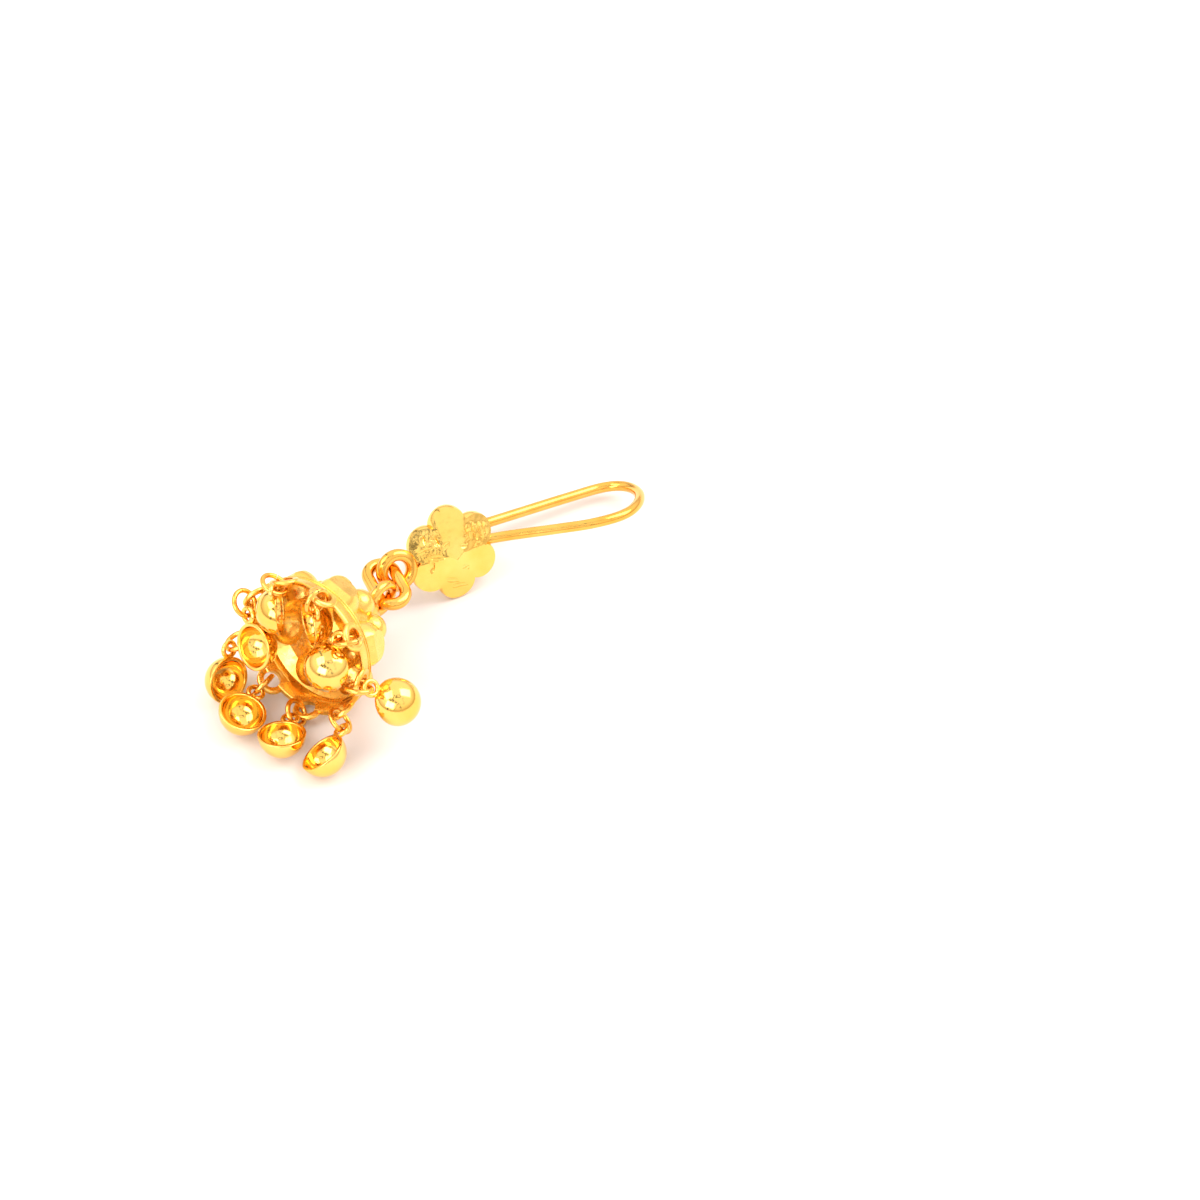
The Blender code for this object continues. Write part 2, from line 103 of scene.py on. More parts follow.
def spunMesh(points, steps=72, loop=True):
    # points are (radius, height) round the section
    bm = bmesh.new()
    verts = [bm.verts.new((radius, 0, height)) for radius, height in points]
    ends = verts[1:] + verts[:1] if loop else verts[1:]
    edges = [bm.edges.new(pair) for pair in zip(verts, ends)]
    bmesh.ops.spin(
        bm,
        geom=verts + edges,
        cent=(0, 0, 0),
        axis=(0, 0, 1),
        angle=math.tau,
        steps=steps * fine,
        use_merge=True,
    )
    return closedMesh(bm)


def ringMesh(outer, wire, place, steps=60, sides=20, flat=1.0):
    # a round of wire turned about the ring's middle; flat squeezes it along the ring's axis
    bm = bmesh.new()
    stand = Matrix.Translation(((outer - wire) / 2, 0, 0)) @ Matrix.Rotation(math.pi / 2, 4, "X")
    made = bmesh.ops.create_circle(bm, segments=sides, radius=wire / 2, matrix=stand)
    edges = bm.edges[:]
    bmesh.ops.spin(
        bm,
        geom=made["verts"] + edges,
        cent=(0, 0, 0),
        axis=(0, 0, 1),
        angle=math.tau,
        steps=steps * fine,
        use_merge=True,
    )
    bmesh.ops.scale(bm, vec=(1, 1, flat), verts=bm.verts)
    return closedMesh(bm, place)


def wireMesh(route, wire, sides=20, loop=False):
    # circles of wire set square across the route, bridged one to the next
    bm = bmesh.new()
    count = len(route)
    side = Vector((0.13, 0.99, 0.05))  # a way that no route runs along
    rounds = []
    for index, point in enumerate(route):
        ahead = route[(index + 1) % count] if loop else route[min(index + 1, count - 1)]
        behind = route[index - 1] if loop else route[max(index - 1, 0)]
        across = pose(point, side, ahead - behind)
        side = across.to_3x3() @ Vector((1, 0, 0))
        capped = not loop and index in (0, count - 1)
        made = bmesh.ops.create_circle(
            bm, cap_ends=capped, segments=sides, radius=wire / 2, matrix=across
        )
        rounds.append({edge for vertex in made["verts"] for edge in vertex.link_edges})
    pairs = zip(rounds, rounds[1:] + rounds[:1]) if loop else zip(rounds, rounds[1:])
    for near, far in pairs:
        bmesh.ops.bridge_loops(bm, edges=list(near | far))
    return closedMesh(bm)


def slicedMesh(mesh, point, normal):
    # takes off what lies past a plane and closes the cut
    bm = bmesh.new()
    bm.from_mesh(mesh)
    everything = bm.verts[:] + bm.edges[:] + bm.faces[:]
    cut = bmesh.ops.bisect_plane(
        bm, geom=everything, plane_co=point, plane_no=normal, clear_outer=True
    )
    edges = [item for item in cut["geom_cut"] if isinstance(item, bmesh.types.BMEdge)]
    bmesh.ops.holes_fill(bm, edges=edges)
    bm.to_mesh(mesh)
    bm.free()
    return mesh


def looseObject(mesh):
    made = bpy.data.objects.new("loose", mesh)
    bpy.context.scene.collection.objects.link(made)
    return made


def soldered(first, joins, cuts=()):
    # one skin out of overlapping closed meshes
    body = looseObject(first)
    helpers = []
    for operation, meshes in (("UNION", joins), ("DIFFERENCE", cuts)):
        for mesh in meshes:
            helpers.append(looseObject(mesh))
            step = body.modifiers.new("solder", "BOOLEAN")
            step.operation = operation
            step.solver = "MANIFOLD"
            step.object = helpers[-1]
    bpy.context.view_layer.update()
    seen = body.evaluated_get(bpy.context.evaluated_depsgraph_get())
    mesh = bpy.data.meshes.new_from_object(seen)
    for item in [body, *helpers]:
        bpy.data.objects.remove(item)
    return mesh


def smoothRoute(points, steps):
    padded = [2 * points[0] - points[1], *points, 2 * points[-1] - points[-2]]
    route = []
    for index in range(len(points) - 1):
        before, start, end, after = padded[index : index + 4]
        for step in range(steps):
            t = step / steps
            bend = 2 * start + (end - before) * t
            bend += (2 * before - 5 * start + 4 * end - after) * t**2
            bend += (3 * start - before - 3 * end + after) * t**3
            route.append(bend / 2)
    return [*route, points[-1]]


def roundCorners(points, size, steps=4):
    # the same section with each corner taken off by a small curve
    made = []
    for index, corner in enumerate(points):
        corner = Vector(corner)
        before = Vector(points[index - 1])
        after = Vector(points[(index + 1) % len(points)])
        start = corner + (before - corner).normalized() * size
        end = corner + (after - corner).normalized() * size
        for step in range(steps + 1):
            t = step / steps
            made.append((1 - t) ** 2 * start + 2 * t * (1 - t) * corner + t**2 * end)
    return made


def addNode(tree, kind, inputs=None, **settings):
    node = tree.nodes.new(kind)
    for name, value in settings.items():
        setattr(node, name, value)
    for name, value in (inputs or {}).items():
        if isinstance(value, bpy.types.NodeSocket):
            tree.links.new(value, node.inputs[name])
        else:
            node.inputs[name].default_value = value
    return node


def mathOf(tree, operation, first, second=0.0):
    inputs = {0: first, 1: second}
    return addNode(tree, "ShaderNodeMath", inputs, operation=operation).outputs["Value"]


def rampOf(tree, value, low, high, start, end):
    inputs = {
        "Value": value,
        "From Min": low,
        "From Max": high,
        "To Min": start,
        "To Max": end,
    }
    return addNode(tree, "ShaderNodeMapRange", inputs).outputs["Result"]


def goldMaterial(name, look):
    # polished gold: a slow change of tone, brighter worn spots, fine waviness and hammer marks
    material = bpy.data.materials.new(name)
    material.use_nodes = True
    tree = material.node_tree
    shader = tree.nodes["Principled BSDF"]
    where = addNode(tree, "ShaderNodeTexCoord").outputs["Object"]

    def grainOf(size, detail=2.0, rough=0.5):
        inputs = {"Vector": where, "Scale": 1000 / size, "Detail": detail, "Roughness": rough}
        return addNode(tree, "ShaderNodeTexNoise", inputs).outputs["Fac"]

    share = rampOf(tree, grainOf(look["toneSize"], 3.0), *look["toneRange"], 0.0, 1.0)
    tone = addNode(tree, "ShaderNodeMix", {"Factor": share}, data_type="RGBA")
    tone.inputs["A"].default_value = (*look["gold"], 1)
    tone.inputs["B"].default_value = (*look["deepGold"], 1)
    tree.links.new(tone.outputs["Result"], shader.inputs["Base Color"])
    worn = grainOf(look["glossSize"], 4.0, 0.6)
    gloss = rampOf(tree, worn, *look["glossRange"], look["gloss"], look["dull"])
    hammered = addNode(tree, "ShaderNodeAttribute", attribute_name="hammered").outputs["Fac"]
    spots = addNode(
        tree,
        "ShaderNodeTexVoronoi",
        {"Vector": where, "Scale": 1000 / look["hammerSize"]},
        feature="SMOOTH_F1",
    ).outputs["Distance"]
    dents = mathOf(tree, "MULTIPLY", hammered, spots)
    wavy = addNode(
        tree,
        "ShaderNodeBump",
        {
            "Height": grainOf(look["waveSize"], 2.0),
            "Strength": look["wave"],
            "Distance": look["waveDepth"],
        },
    )
    grain = addNode(
        tree,
        "ShaderNodeBump",
        {
            "Height": grainOf(look["grainSize"], 3.0, 0.6),
            "Strength": look["grain"],
            "Distance": look["grainDepth"],
            "Normal": wavy.outputs["Normal"],
        },
    )
    dented = addNode(
        tree,
        "ShaderNodeBump",
        {
            "Height": dents,
            "Strength": look["hammer"],
            "Distance": look["hammerDepth"],
            "Normal": grain.outputs["Normal"],
        },
    )
    tree.links.new(gloss, shader.inputs["Roughness"])
    tree.links.new(dented.outputs["Normal"], shader.inputs["Normal"])
    shader.inputs["Metallic"].default_value = 1.0
    return material


# sizes of the marks in millimetres, their depths in metres
plainGold = {
    "gold": (1.0, 0.64, 0.165),
    "deepGold": (0.97, 0.56, 0.11),
    "toneSize": 2.6,
    "toneRange": (0.35, 0.65),
    "gloss": 0.08,
    "dull": 0.2,
    "glossSize": 0.9,
    "glossRange": (0.35, 0.7),
    "wave": 0.25,
    "waveSize": 1.3,
    "waveDepth": 0.00006,
    "grain": 0.25,
    "grainSize": 0.11,
    "grainDepth": 0.00001,
    "hammer": 0.0,
    "hammerSize": 0.4,
    "hammerDepth": 0.00012,
}
goldOf = {
    # the wire's gold is a deeper copy of the plain gold: painted shade in its base colour, standing
    # in for the darker reflections along the wire
    "wire": goldMaterial(
        "wireGoldPaintedShade",
        {**plainGold, "gold": (0.94, 0.53, 0.12), "deepGold": (0.86, 0.43, 0.07), "wave": 0.12},
    ),
    "flower": goldMaterial(
        "hammeredFlowerGold", {**plainGold, "hammer": 0.9, "hammerSize": 0.42, "wave": 0.35}
    ),
    "bell": goldMaterial(
        "castBellGold",
        {**plainGold, "wave": 0.35, "grain": 0.4, "hammer": 0.5, "gloss": 0.2, "dull": 0.36},
    ),
    "cup": goldMaterial("raisedCupGold", {**plainGold, "wave": 0.2, "gloss": 0.06, "dull": 0.16}),
}


def finishPiece(name, meshes, place, gold, nodes, sharp=25, hammered=None):
    # joins the shapes into one object that stands in its place
    bm = bmesh.new()
    for mesh in meshes:
        bm.from_mesh(mesh)
        bpy.data.meshes.remove(mesh)
    mesh = bpy.data.meshes.new(name)
    layer = bm.verts.layers.float.new("hammered")
    for vertex in bm.verts:
        vertex[layer] = hammered(vertex) if hammered else 0.0
    bmesh.ops.transform(bm, matrix=Matrix.Scale(millimetre, 4) @ place, verts=bm.verts)
    bm.to_mesh(mesh)
    bm.free()
    mesh.shade_smooth()
    mesh.set_sharp_from_angle(angle=math.radians(sharp))
    mesh.materials.clear()
    mesh.materials.append(gold)
    piece = bpy.data.objects.new(name, mesh)
    bpy.context.scene.collection.objects.link(piece)
    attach(piece, "root")
    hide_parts(*nodes)


flower = {
    "petals": 6,
    "petalRadius": 1.7,
    "petalCircle": 2.5,
    "petalLift": 0.35,
    "coreRadius": 2.3,
    "coreLift": 0.35,
    # each petal's flat: its lean, and its height over the middle as a share of the core
    "flats": ((15, 0.78), (11, 0.72), (17, 0.80), (15, 0.78), (18, 0.82), (14, 0.77)),
    "hammered": {0: 0.02, 2: 0.03},  # which petals are hammered, and how deep
    # bright cuts: petal, how far out, how far aside, turned by, length over width
    "cuts": (
        (0, 2.1, 0.5, 70, 2.6),
        (0, 2.6, 0.1, 62, 3.0),
        (0, 3.1, -0.2, 66, 2.8),
        (0, 3.5, -0.5, 72, 2.2),
        (1, 0.9, 0.9, -55, 2.4),
        (1, 0.5, -1.1, 75, 2.6),
        (2, 1.5, 0.7, 15, 2.6),
        (2, 2.2, -0.6, -35, 2.4),
        (2, 2.7, 0.5, 40, 2.8),
        (2, 3.2, -0.3, -60, 2.0),
        (3, 1.6, -1.0, -20, 2.2),
        (3, 2.2, -0.7, 50, 2.6),
        (4, 1.2, 0.9, 10, 2.0),
        (4, 2.3, -0.5, 65, 3.2),
        (4, 3.0, 0.1, 80, 3.4),
        (5, 1.1, -0.9, 35, 2.4),
    ),
    "cutRadius": 0.42,
    "cutDepth": 0.09,
    "facetSize": 0.5,
    "facetTilt": 2.0,
    "facetSink": 0.6,
    "cell": 0.13,  # how closely the front is divided for the hammer marks
    "cellShift": 0.31,  # keeps the divisions off the balls' own edges
    "markReach": 1.45,  # how far from a petal's middle its marks go
    "markFloor": 0.7,
    "markFade": 0.3,
    "marks": (0.2, 0.4),  # fine marks everywhere, and more on the hammered petals
    "ringOuter": 3.8,
    "ringWire": 1.05,
    "ringSink": 0.2,
    "ringRise": 0.85,
}
hook = {
    "wire": 0.9,
    "reach": 18.1,
    "front": 4.2,
    "behind": 3.25,
    "tail": 1.3,
    "sink": 0.2,
    "root": 0.25,  # where it starts on the cluster's back, as a share of the petal circle
    # along and across, as shares of the reach and of the spread
    "route": (
        (0.50, 0.800),
        (0.65, 0.955),
        (0.80, 0.990),
        (0.91, 0.840),
        (0.985, 0.540),
        (0.985, 0.220),
        (0.90, 0.030),
        (0.70, 0.000),
        (0.40, 0.000),
    ),
}

hookAlong = direction(0, -lie["hookPitch"])
hookFront = direction(-90, lie["hookLean"])
hookFront -= hookFront.dot(hookAlong) * hookAlong
hookPlace = pose(Vector(lie["flowerCentre"]), hookAlong, hookFront)
halfTurn = math.pi / flower["petals"]
flowerRingMiddle = flower["petalCircle"] * math.cos(halfTurn) + math.sqrt(
    (flower["petalRadius"] + flower["ringOuter"] / 2 - flower["ringSink"]) ** 2
    - (flower["petalCircle"] * math.sin(halfTurn)) ** 2
)


def petalCentre(index):
    return polar(flower["petalCircle"], (index + 0.5) * 360 / flower["petals"], flower["petalLift"])


def petalMark(point):
    # (hammer depth, how much of it reaches this point)
    nearest = min(range(flower["petals"]), key=lambda index: (point - petalCentre(index)).length)
    depth = flower["hammered"].get(nearest, 0.0)
    flat = Vector((point.x, point.y, 0)) - Vector((*petalCentre(nearest).xy, 0))
    near = max(0.0, min(1.0, (flower["markReach"] - flat.length) / flower["markFade"]))
    front = max(0.0, min(1.0, (point.z - flower["markFloor"]) / flower["markFade"]))
    return depth, near * front if depth else 0.0


def hammeredMesh(mesh):
    # divides the front finely, then strikes small tilted facets into some petals
    bm = bmesh.new()
    bm.from_mesh(mesh)
    cell = flower["cell"] * (3 - fine)
    count = int((flower["petalCircle"] + flower["petalRadius"]) / cell)
    for axis in (Vector((1, 0, 0)), Vector((0, 1, 0))):
        for step in range(-count, count + 1):
            everything = bm.verts[:] + bm.edges[:] + bm.faces[:]
            place = axis * (step + flower["cellShift"]) * cell
            bmesh.ops.bisect_plane(bm, geom=everything, plane_co=place, plane_no=axis)
    bm.normal_update()
    for vertex in bm.verts:
        depth, share = petalMark(vertex.co)
        if share <= 0:
            continue
        spot = vertex.co / flower["facetSize"]
        centre = noise.voronoi(spot)[1][0]
        tilt = noise.cell_vector(centre * 7) - Vector((0.5, 0.5, 0.5))
        push = (spot - centre).dot(tilt) * flower["facetTilt"] - flower["facetSink"]
        vertex.co += Vector((0, 0, 1)) * push * depth * share
    bm.to_mesh(mesh)
    bm.free()
    return mesh


def cutMesh(petal, out, aside, turn, stretch):
    # a long slim ball that leaves one bright cut in a petal's flat
    lean, height = flower["flats"][petal]
    heading = (petal + 0.5) * 360 / flower["petals"]
    facing = direction(heading, 90 - lean)
    spot = polar(out, heading) + polar(aside, heading + 90)
    spot.z = height * flower["coreRadius"] - facing.xy.dot(spot.xy) / facing.z
    spot += facing * (flower["cutRadius"] - flower["cutDepth"])
    place = pose(spot, polar(1, heading + turn), facing) @ Matrix.Diagonal((stretch, 1, 1, 1))
    return ballMesh(flower["cutRadius"], place, segments=18)


def makeFlower():
    middle = Matrix.Translation((0, 0, flower["coreLift"]))
    core = ballMesh(flower["coreRadius"], middle, segments=28)
    petals = []
    for index in range(flower["petals"]):
        spin = Matrix.Rotation(math.radians(7 + 11 * index), 4, "Z")  # no two balls' edges meet
        place = Matrix.Translation(petalCentre(index)) @ spin
        petals.append(ballMesh(flower["petalRadius"], place, segments=28))
    bm = bmesh.new()
    block = 20.0  # takes off everything behind the flat back
    bmesh.ops.create_cube(bm, size=block)
    below = closedMesh(bm, Matrix.Translation((0, 0, -block / 2)))
    cluster = soldered(core, petals, [below])
    for index, (lean, height) in enumerate(flower["flats"]):
        middle = Vector((0, 0, height * flower["coreRadius"]))
        facing = direction((index + 0.5) * 360 / flower["petals"], 90 - lean)
        cluster = slicedMesh(cluster, middle, facing)
    cluster = soldered(cluster, [], [cutMesh(*row) for row in flower["cuts"]])
    cluster = hammeredMesh(cluster)
    ring = ringMesh(
        flower["ringOuter"],
        flower["ringWire"],
        Matrix.Translation((-flowerRingMiddle, 0, flower["ringRise"])),
    )

    def hammered(vertex):
        fineMarks, moreMarks = flower["marks"]
        return fineMarks + moreMarks * petalMark(vertex.co)[1]

    finishPiece(
        "flowerCluster",
        [cluster],
        hookPlace,
        goldOf["flower"],
        ["ear_hook_and_flower"],
        sharp=22,
        hammered=hammered,
    )
    finishPiece(
        "flowerRing", [ring], hookPlace, goldOf["wire"], ["ear_hook_and_flower"]
    )


def makeHook():
    spread = hook["front"] + hook["behind"]
    route = [
        Vector((hook["root"] * flower["petalCircle"], 0, -hook["sink"])),
        Vector((flower["petalCircle"] + flower["petalRadius"], 0, hook["wire"] / 2)),
    ]
    for along, across in hook["route"]:
        route.append(Vector((along * hook["reach"], 0, across * spread - hook["behind"])))
    route.append(Vector((-hook["tail"], 0, -hook["behind"])))
    wire = wireMesh(smoothRoute(route, 6 * fine), hook["wire"], sides=24)
    finishPiece(
        "earWire",
        [wire],
        hookPlace,
        goldOf["wire"],
        ["ear_hook_and_flower"],
        sharp=40,
    )


makeFlower()
makeHook()
print("flower and ear wire made")

bell = {
    "loopOuter": 3.5,
    "loopWire": 0.9,
    "loopSink": 0.35,
    "capRadius": 2.35,
    "capHeight": 2.7,
    "capWall": 0.45,
    "capInside": (0.72, 0.6),  # its rounding, as shares of the inner radius and height
    "capDepth": 7.1,
    "smallBalls": 8,
    "smallRadius": 1.28,
    "smallCircle": 3.05,
    "smallDepth": 6.3,
    "largeBalls": 6,
    "largeRadius": 2.0,
    "largeCircle": 4.25,
    "largeDepth": 3.6,
    "largeCut": 0.42,
    "facetLean": 17.0,
    "ballWall": 0.4,
    "domeWall": 0.35,
    "domeLap": 0.3,
    "innerStep": 0.1,
    "ballTurn": 20.0,
    "bandTopRadius": 5.9,
    "bandMouthRadius": 6.6,
    "bandTopDepth": 2.75,
    "bandEdgeDepth": 1.3,
    "bandWall": 0.45,
    "eyelets": 9,
    "eyeletRadius": 0.72,
    "eyeletFlat": 0.85,
    "lobeRadius": 1.3,
    "lobeInset": 0.12,
    "lobeSheet": 0.7,  # its thickness as a share of the band's wall
    "edgeRound": 0.12,
    "lineDepths": (0.12, 0.42),  # the raised lines near the band's upper edge
    "lineWire": 0.13,
    "markedRadius": 4.6,  # inside this and under the cap the sheet is hammered
    "markedDepth": 7.0,
    "marks": (0.6, 0.06),  # there, and on the rest
}

mouth = direction(lie["bellHeading"], lie["bellPitch"])
bellPlace = pose(Vector(lie["bellMouth"]), Vector((0, 0, 1)).cross(mouth), mouth)
loopDepth = bell["capDepth"] + bell["capHeight"] + bell["loopOuter"] / 2 - bell["loopSink"]
flare = Vector((bell["bandMouthRadius"] - bell["bandTopRadius"], bell["bandTopDepth"])).normalized()


def bandRadius(depth):
    share = depth / bell["bandTopDepth"]
    return bell["bandMouthRadius"] + (bell["bandTopRadius"] - bell["bandMouthRadius"]) * share


def eyeletCentre(index):
    middle = bandRadius(bell["lobeRadius"]) - bell["bandWall"] / 2
    return polar(middle, index * 360 / bell["eyelets"], -bell["lobeRadius"])


def eyeletAxes(index):
    # down the lobe, and out of the wall
    radial = polar(1, index * 360 / bell["eyelets"])
    down = radial * flare.x + Vector((0, 0, flare.y))
    return down, radial * flare.y - Vector((0, 0, flare.x))


def makeShell():
    foot = -bell["capDepth"] + bell["capWall"]
    dome = [(0.0, foot), (bell["capRadius"], foot)]
    steps = 12
    for step in range(steps):
        angle = math.radians(90 * step / steps)
        height = -bell["capDepth"] - bell["capHeight"] * math.sin(angle)
        dome.append((bell["capRadius"] * math.cos(angle), height))
    dome.append((0.0, -bell["capDepth"] - bell["capHeight"]))
    cap = spunMesh(dome, loop=False)
    balls = []
    hollows = []
    for index in range(bell["largeBalls"]):
        turn = bell["ballTurn"] + index * 360 / bell["largeBalls"]
        outwards = polar(1, turn)
        centre = polar(bell["largeCircle"], turn, -bell["largeDepth"])
        made = ballMesh(bell["largeRadius"], Matrix.Translation(centre))
        for lean in (-bell["facetLean"], bell["facetLean"]):
            leanTurn = math.radians(lean)
            facing = outwards * math.cos(leanTurn) + Vector((0, 0, math.sin(leanTurn)))
            face = centre + outwards * (bell["largeRadius"] - bell["largeCut"])
            made = slicedMesh(made, face, facing)
        balls.append(made)
        inner = polar(bell["largeCircle"] - bell["largeCut"], turn, -bell["largeDepth"])
        radius = bell["largeRadius"] - bell["ballWall"]
        hollows.append(ballMesh(radius, Matrix.Translation(inner), segments=20))
    for index in range(bell["smallBalls"]):
        turn = bell["ballTurn"] + index * 360 / bell["smallBalls"]
        place = Matrix.Translation(polar(bell["smallCircle"], turn, -bell["smallDepth"]))
        radius = bell["smallRadius"] - bell["ballWall"]
        balls.append(ballMesh(bell["smallRadius"], place, segments=18))
        hollows.append(ballMesh(radius, place, segments=12))
    top = -bell["capDepth"] - bell["capHeight"] + bell["capWall"]
    inRadius = bell["capRadius"] - bell["capWall"]
    wide = bell["bandTopRadius"] - bell["bandWall"] - bell["innerStep"]
    wall = (
        (wide, -bell["bandTopDepth"]),
        (bell["largeCircle"] + bell["innerStep"], -bell["largeDepth"]),
        (bell["smallCircle"] - bell["innerStep"], -bell["smallDepth"]),
        (inRadius, -bell["capDepth"]),
    )
    # the sheet that closes the bell between its balls
    sheet = [(radius + bell["domeWall"], height) for radius, height in wall]
    mouthSide = sheet[0][1] + bell["domeLap"]
    capSide = sheet[-1][1] - bell["domeLap"]
    dome = spunMesh(
        (
            (0.0, mouthSide),
            (sheet[0][0], mouthSide),
            *sheet,
            (sheet[-1][0], capSide),
            (0.0, capSide),
        ),
        loop=False,
    )
    across, up = bell["capInside"]
    hollow = spunMesh(
        (
            (0.0, bell["lobeRadius"]),
            (wide, bell["lobeRadius"]),
            *wall,
            (across * inRadius, up * top - (1 - up) * bell["capDepth"]),
            (0.0, top),
        ),
        loop=False,
    )
    return soldered(cap, [dome, *balls], [hollow, *hollows])


def makeRim():
    # the band, its edge lines, and a raised eyelet for each drop
    edge = bandRadius(bell["bandEdgeDepth"])
    wall = bell["bandWall"]
    section = roundCorners(
        (
            (edge, -bell["bandEdgeDepth"]),
            (bell["bandTopRadius"], -bell["bandTopDepth"]),
            (bell["bandTopRadius"] - wall, -bell["bandTopDepth"]),
            (edge - wall, -bell["bandEdgeDepth"]),
        ),
        bell["edgeRound"],
    )
    lobes = []
    holes = []
    rims = []
    for index in range(bell["eyelets"]):
        down, facing = eyeletAxes(index)
        place = pose(eyeletCentre(index), down, facing)
        radius = bell["lobeRadius"] - bell["lobeInset"]
        lobes.append(rodMesh(radius, bell["lobeSheet"] * wall, place))
        holes.append(rodMesh(bell["eyeletRadius"], 6 * wall, place))  # well through the wall
        rim = bell["lobeRadius"] - bell["eyeletRadius"]
        flat = bell["eyeletFlat"]
        rims.append(ringMesh(2 * bell["lobeRadius"], rim, place, steps=30, sides=16, flat=flat))
    band = soldered(spunMesh(section), lobes, holes)
    line = bell["lineWire"]
    for under in bell["lineDepths"]:
        depth = bell["bandTopDepth"] - under
        place = Matrix.Translation((0, 0, -depth))
        for radius in (bandRadius(depth), bandRadius(depth) - wall):
            rims.append(ringMesh(2 * radius + line, line, place, steps=72, sides=10))
    return band, rims


def makeBell():
    band, rims = makeRim()
    loop = ringMesh(
        bell["loopOuter"],
        bell["loopWire"],
        pose(Vector((0, 0, -loopDepth)), Vector((0, 0, 1)), Vector((1, 0, 0))),
    )

    def hammered(vertex):
        near = math.hypot(vertex.co.x, vertex.co.y) < bell["markedRadius"]
        inside, rest = bell["marks"]
        return inside if near and vertex.co.z > -bell["markedDepth"] else rest

    finishPiece(
        "bellShell", [makeShell()], bellPlace, goldOf["bell"], ["bell"], 22, hammered
    )
    finishPiece("bellBand", [band, *rims], bellPlace, goldOf["bell"], ["bell"], 30)
    finishPiece("bellLoop", [loop], bellPlace, goldOf["wire"], ["bell"])


makeBell()
print("bell made")

link = {"length": 5.6, "width": 3.4, "wire": 1.05}


def makeLink():
    ringWire = (flower["ringOuter"] - flower["ringWire"]) / 2
    touch = polar(ringWire, 180 + lie["linkTouch"])
    start = hookPlace @ (Vector((-flowerRingMiddle, 0, flower["ringRise"])) + touch)
    end = bellPlace @ Vector((0, 0, -loopDepth - (bell["loopOuter"] - bell["loopWire"]) / 2))
    near = (flower["ringWire"] + link["wire"]) / 2 + lie["linkPlay"]
    far = (bell["loopWire"] + link["wire"]) / 2 + lie["linkPlay"]
    lead = (end - start).normalized()
    middle = (start - lead * near + end + lead * far) / 2
    upright = Matrix.Rotation(math.radians(lie["linkRoll"]), 3, lead) @ (
        hookPlace.to_3x3() @ Vector((0, 1, 0))
    )
    place = pose(middle, lead, upright - upright.dot(lead) * lead)
    straight = (link["length"] - link["width"]) / 2
    roundEnd = (link["width"] - link["wire"]) / 2
    route = []
    for side, first in ((1, -90), (-1, 90)):
        for step in range(16 * fine):
            bend = polar(roundEnd, first + 180 * step / (16 * fine - 1))
            route.append(bend + Vector((side * straight, 0, 0)))
    wire = wireMesh(route, link["wire"], sides=24, loop=True)
    finishPiece(
        "ovalLink", [wire], place, goldOf["wire"], ["connecting_link"], sharp=40
    )


makeLink()
print("link made")

# the drops: jump rings and cups
drop = {
    "jointGap": 3.0,  # where a jump ring's ends meet
    "lipRise": 0.4,
    "jumpOuter": 2.6,
    "jumpWire": 0.44,
    "cupRadius": 2.05,
    "cupWall": 0.3,
    "eyeOuter": 1.65,
    "eyeWire": 0.42,
    "eyeSink": 0.2,
    "pull": 0.08,
    # where each ring leads, where its cup hangs from it, the way the cup's mouth faces, the ring's
    # own turn and shift, and whether the cup lies on the table
    "poses": (
        (0, -10, -15, -30, -35, 125, -20, -25, 0.08, False),
        (1, 115, -30, -160, -55, 20, 50, 5, -0.09, False),
        (2, -140, -80, 90, -65, -155, 50, 10, -0.03, False),
        (3, -125, 10, 15, -80, -25, -35, 0, 0.05, False),
        (4, -95, -40, -100, -45, -155, 5, -5, 0.13, False),
        (5, -160, -10, -125, 0, -40, 55, 85, 0.11, True),
        (6, -150, 5, -140, 0, -130, 35, 40, -0.15, True),
        (7, -145, 15, -130, 0, 80, 80, 65, -0.18, True),
        (8, -110, 0, -150, 0, 165, 40, -40, -0.14, True),
    ),
}
eyeOffset = drop["cupRadius"] + drop["eyeOuter"] / 2 - drop["eyeSink"]


def placeDrop(row):
    eyelet, ringHeading, ringPitch, cupHeading, cupPitch = row[:5]
    mouthHeading, mouthPitch, ringTurn, ringLift, lies = row[5:]
    down = eyeletAxes(eyelet)[0]
    toWeb = (bell["eyeletRadius"] + bell["lobeRadius"]) / 2
    web = bellPlace @ (eyeletCentre(eyelet) + down * toWeb)
    down = bellPlace.to_3x3() @ down
    lead = direction(ringHeading, ringPitch)
    across = lead.cross(down).normalized()
    across = Matrix.Rotation(math.radians(ringTurn), 3, lead) @ across
    shift = lead * drop["pull"] + across.cross(lead) * ringLift
    ringCentre = web + shift * drop["jumpOuter"]
    eye = ringCentre + lead * (drop["jumpOuter"] - drop["jumpWire"]) / 2
    if lies:
        cupPitch = math.degrees(math.asin((drop["cupRadius"] - eye.z) / eyeOffset))
    hang = direction(cupHeading, cupPitch)
    facing = direction(mouthHeading, mouthPitch)
    facing = facing - facing.dot(hang) * hang
    cup = pose(eye + hang * eyeOffset, -hang, facing)
    return pose(ringCentre, lead, across), cup @ Matrix.Translation((0, 0, drop["eyeWire"] / 2))


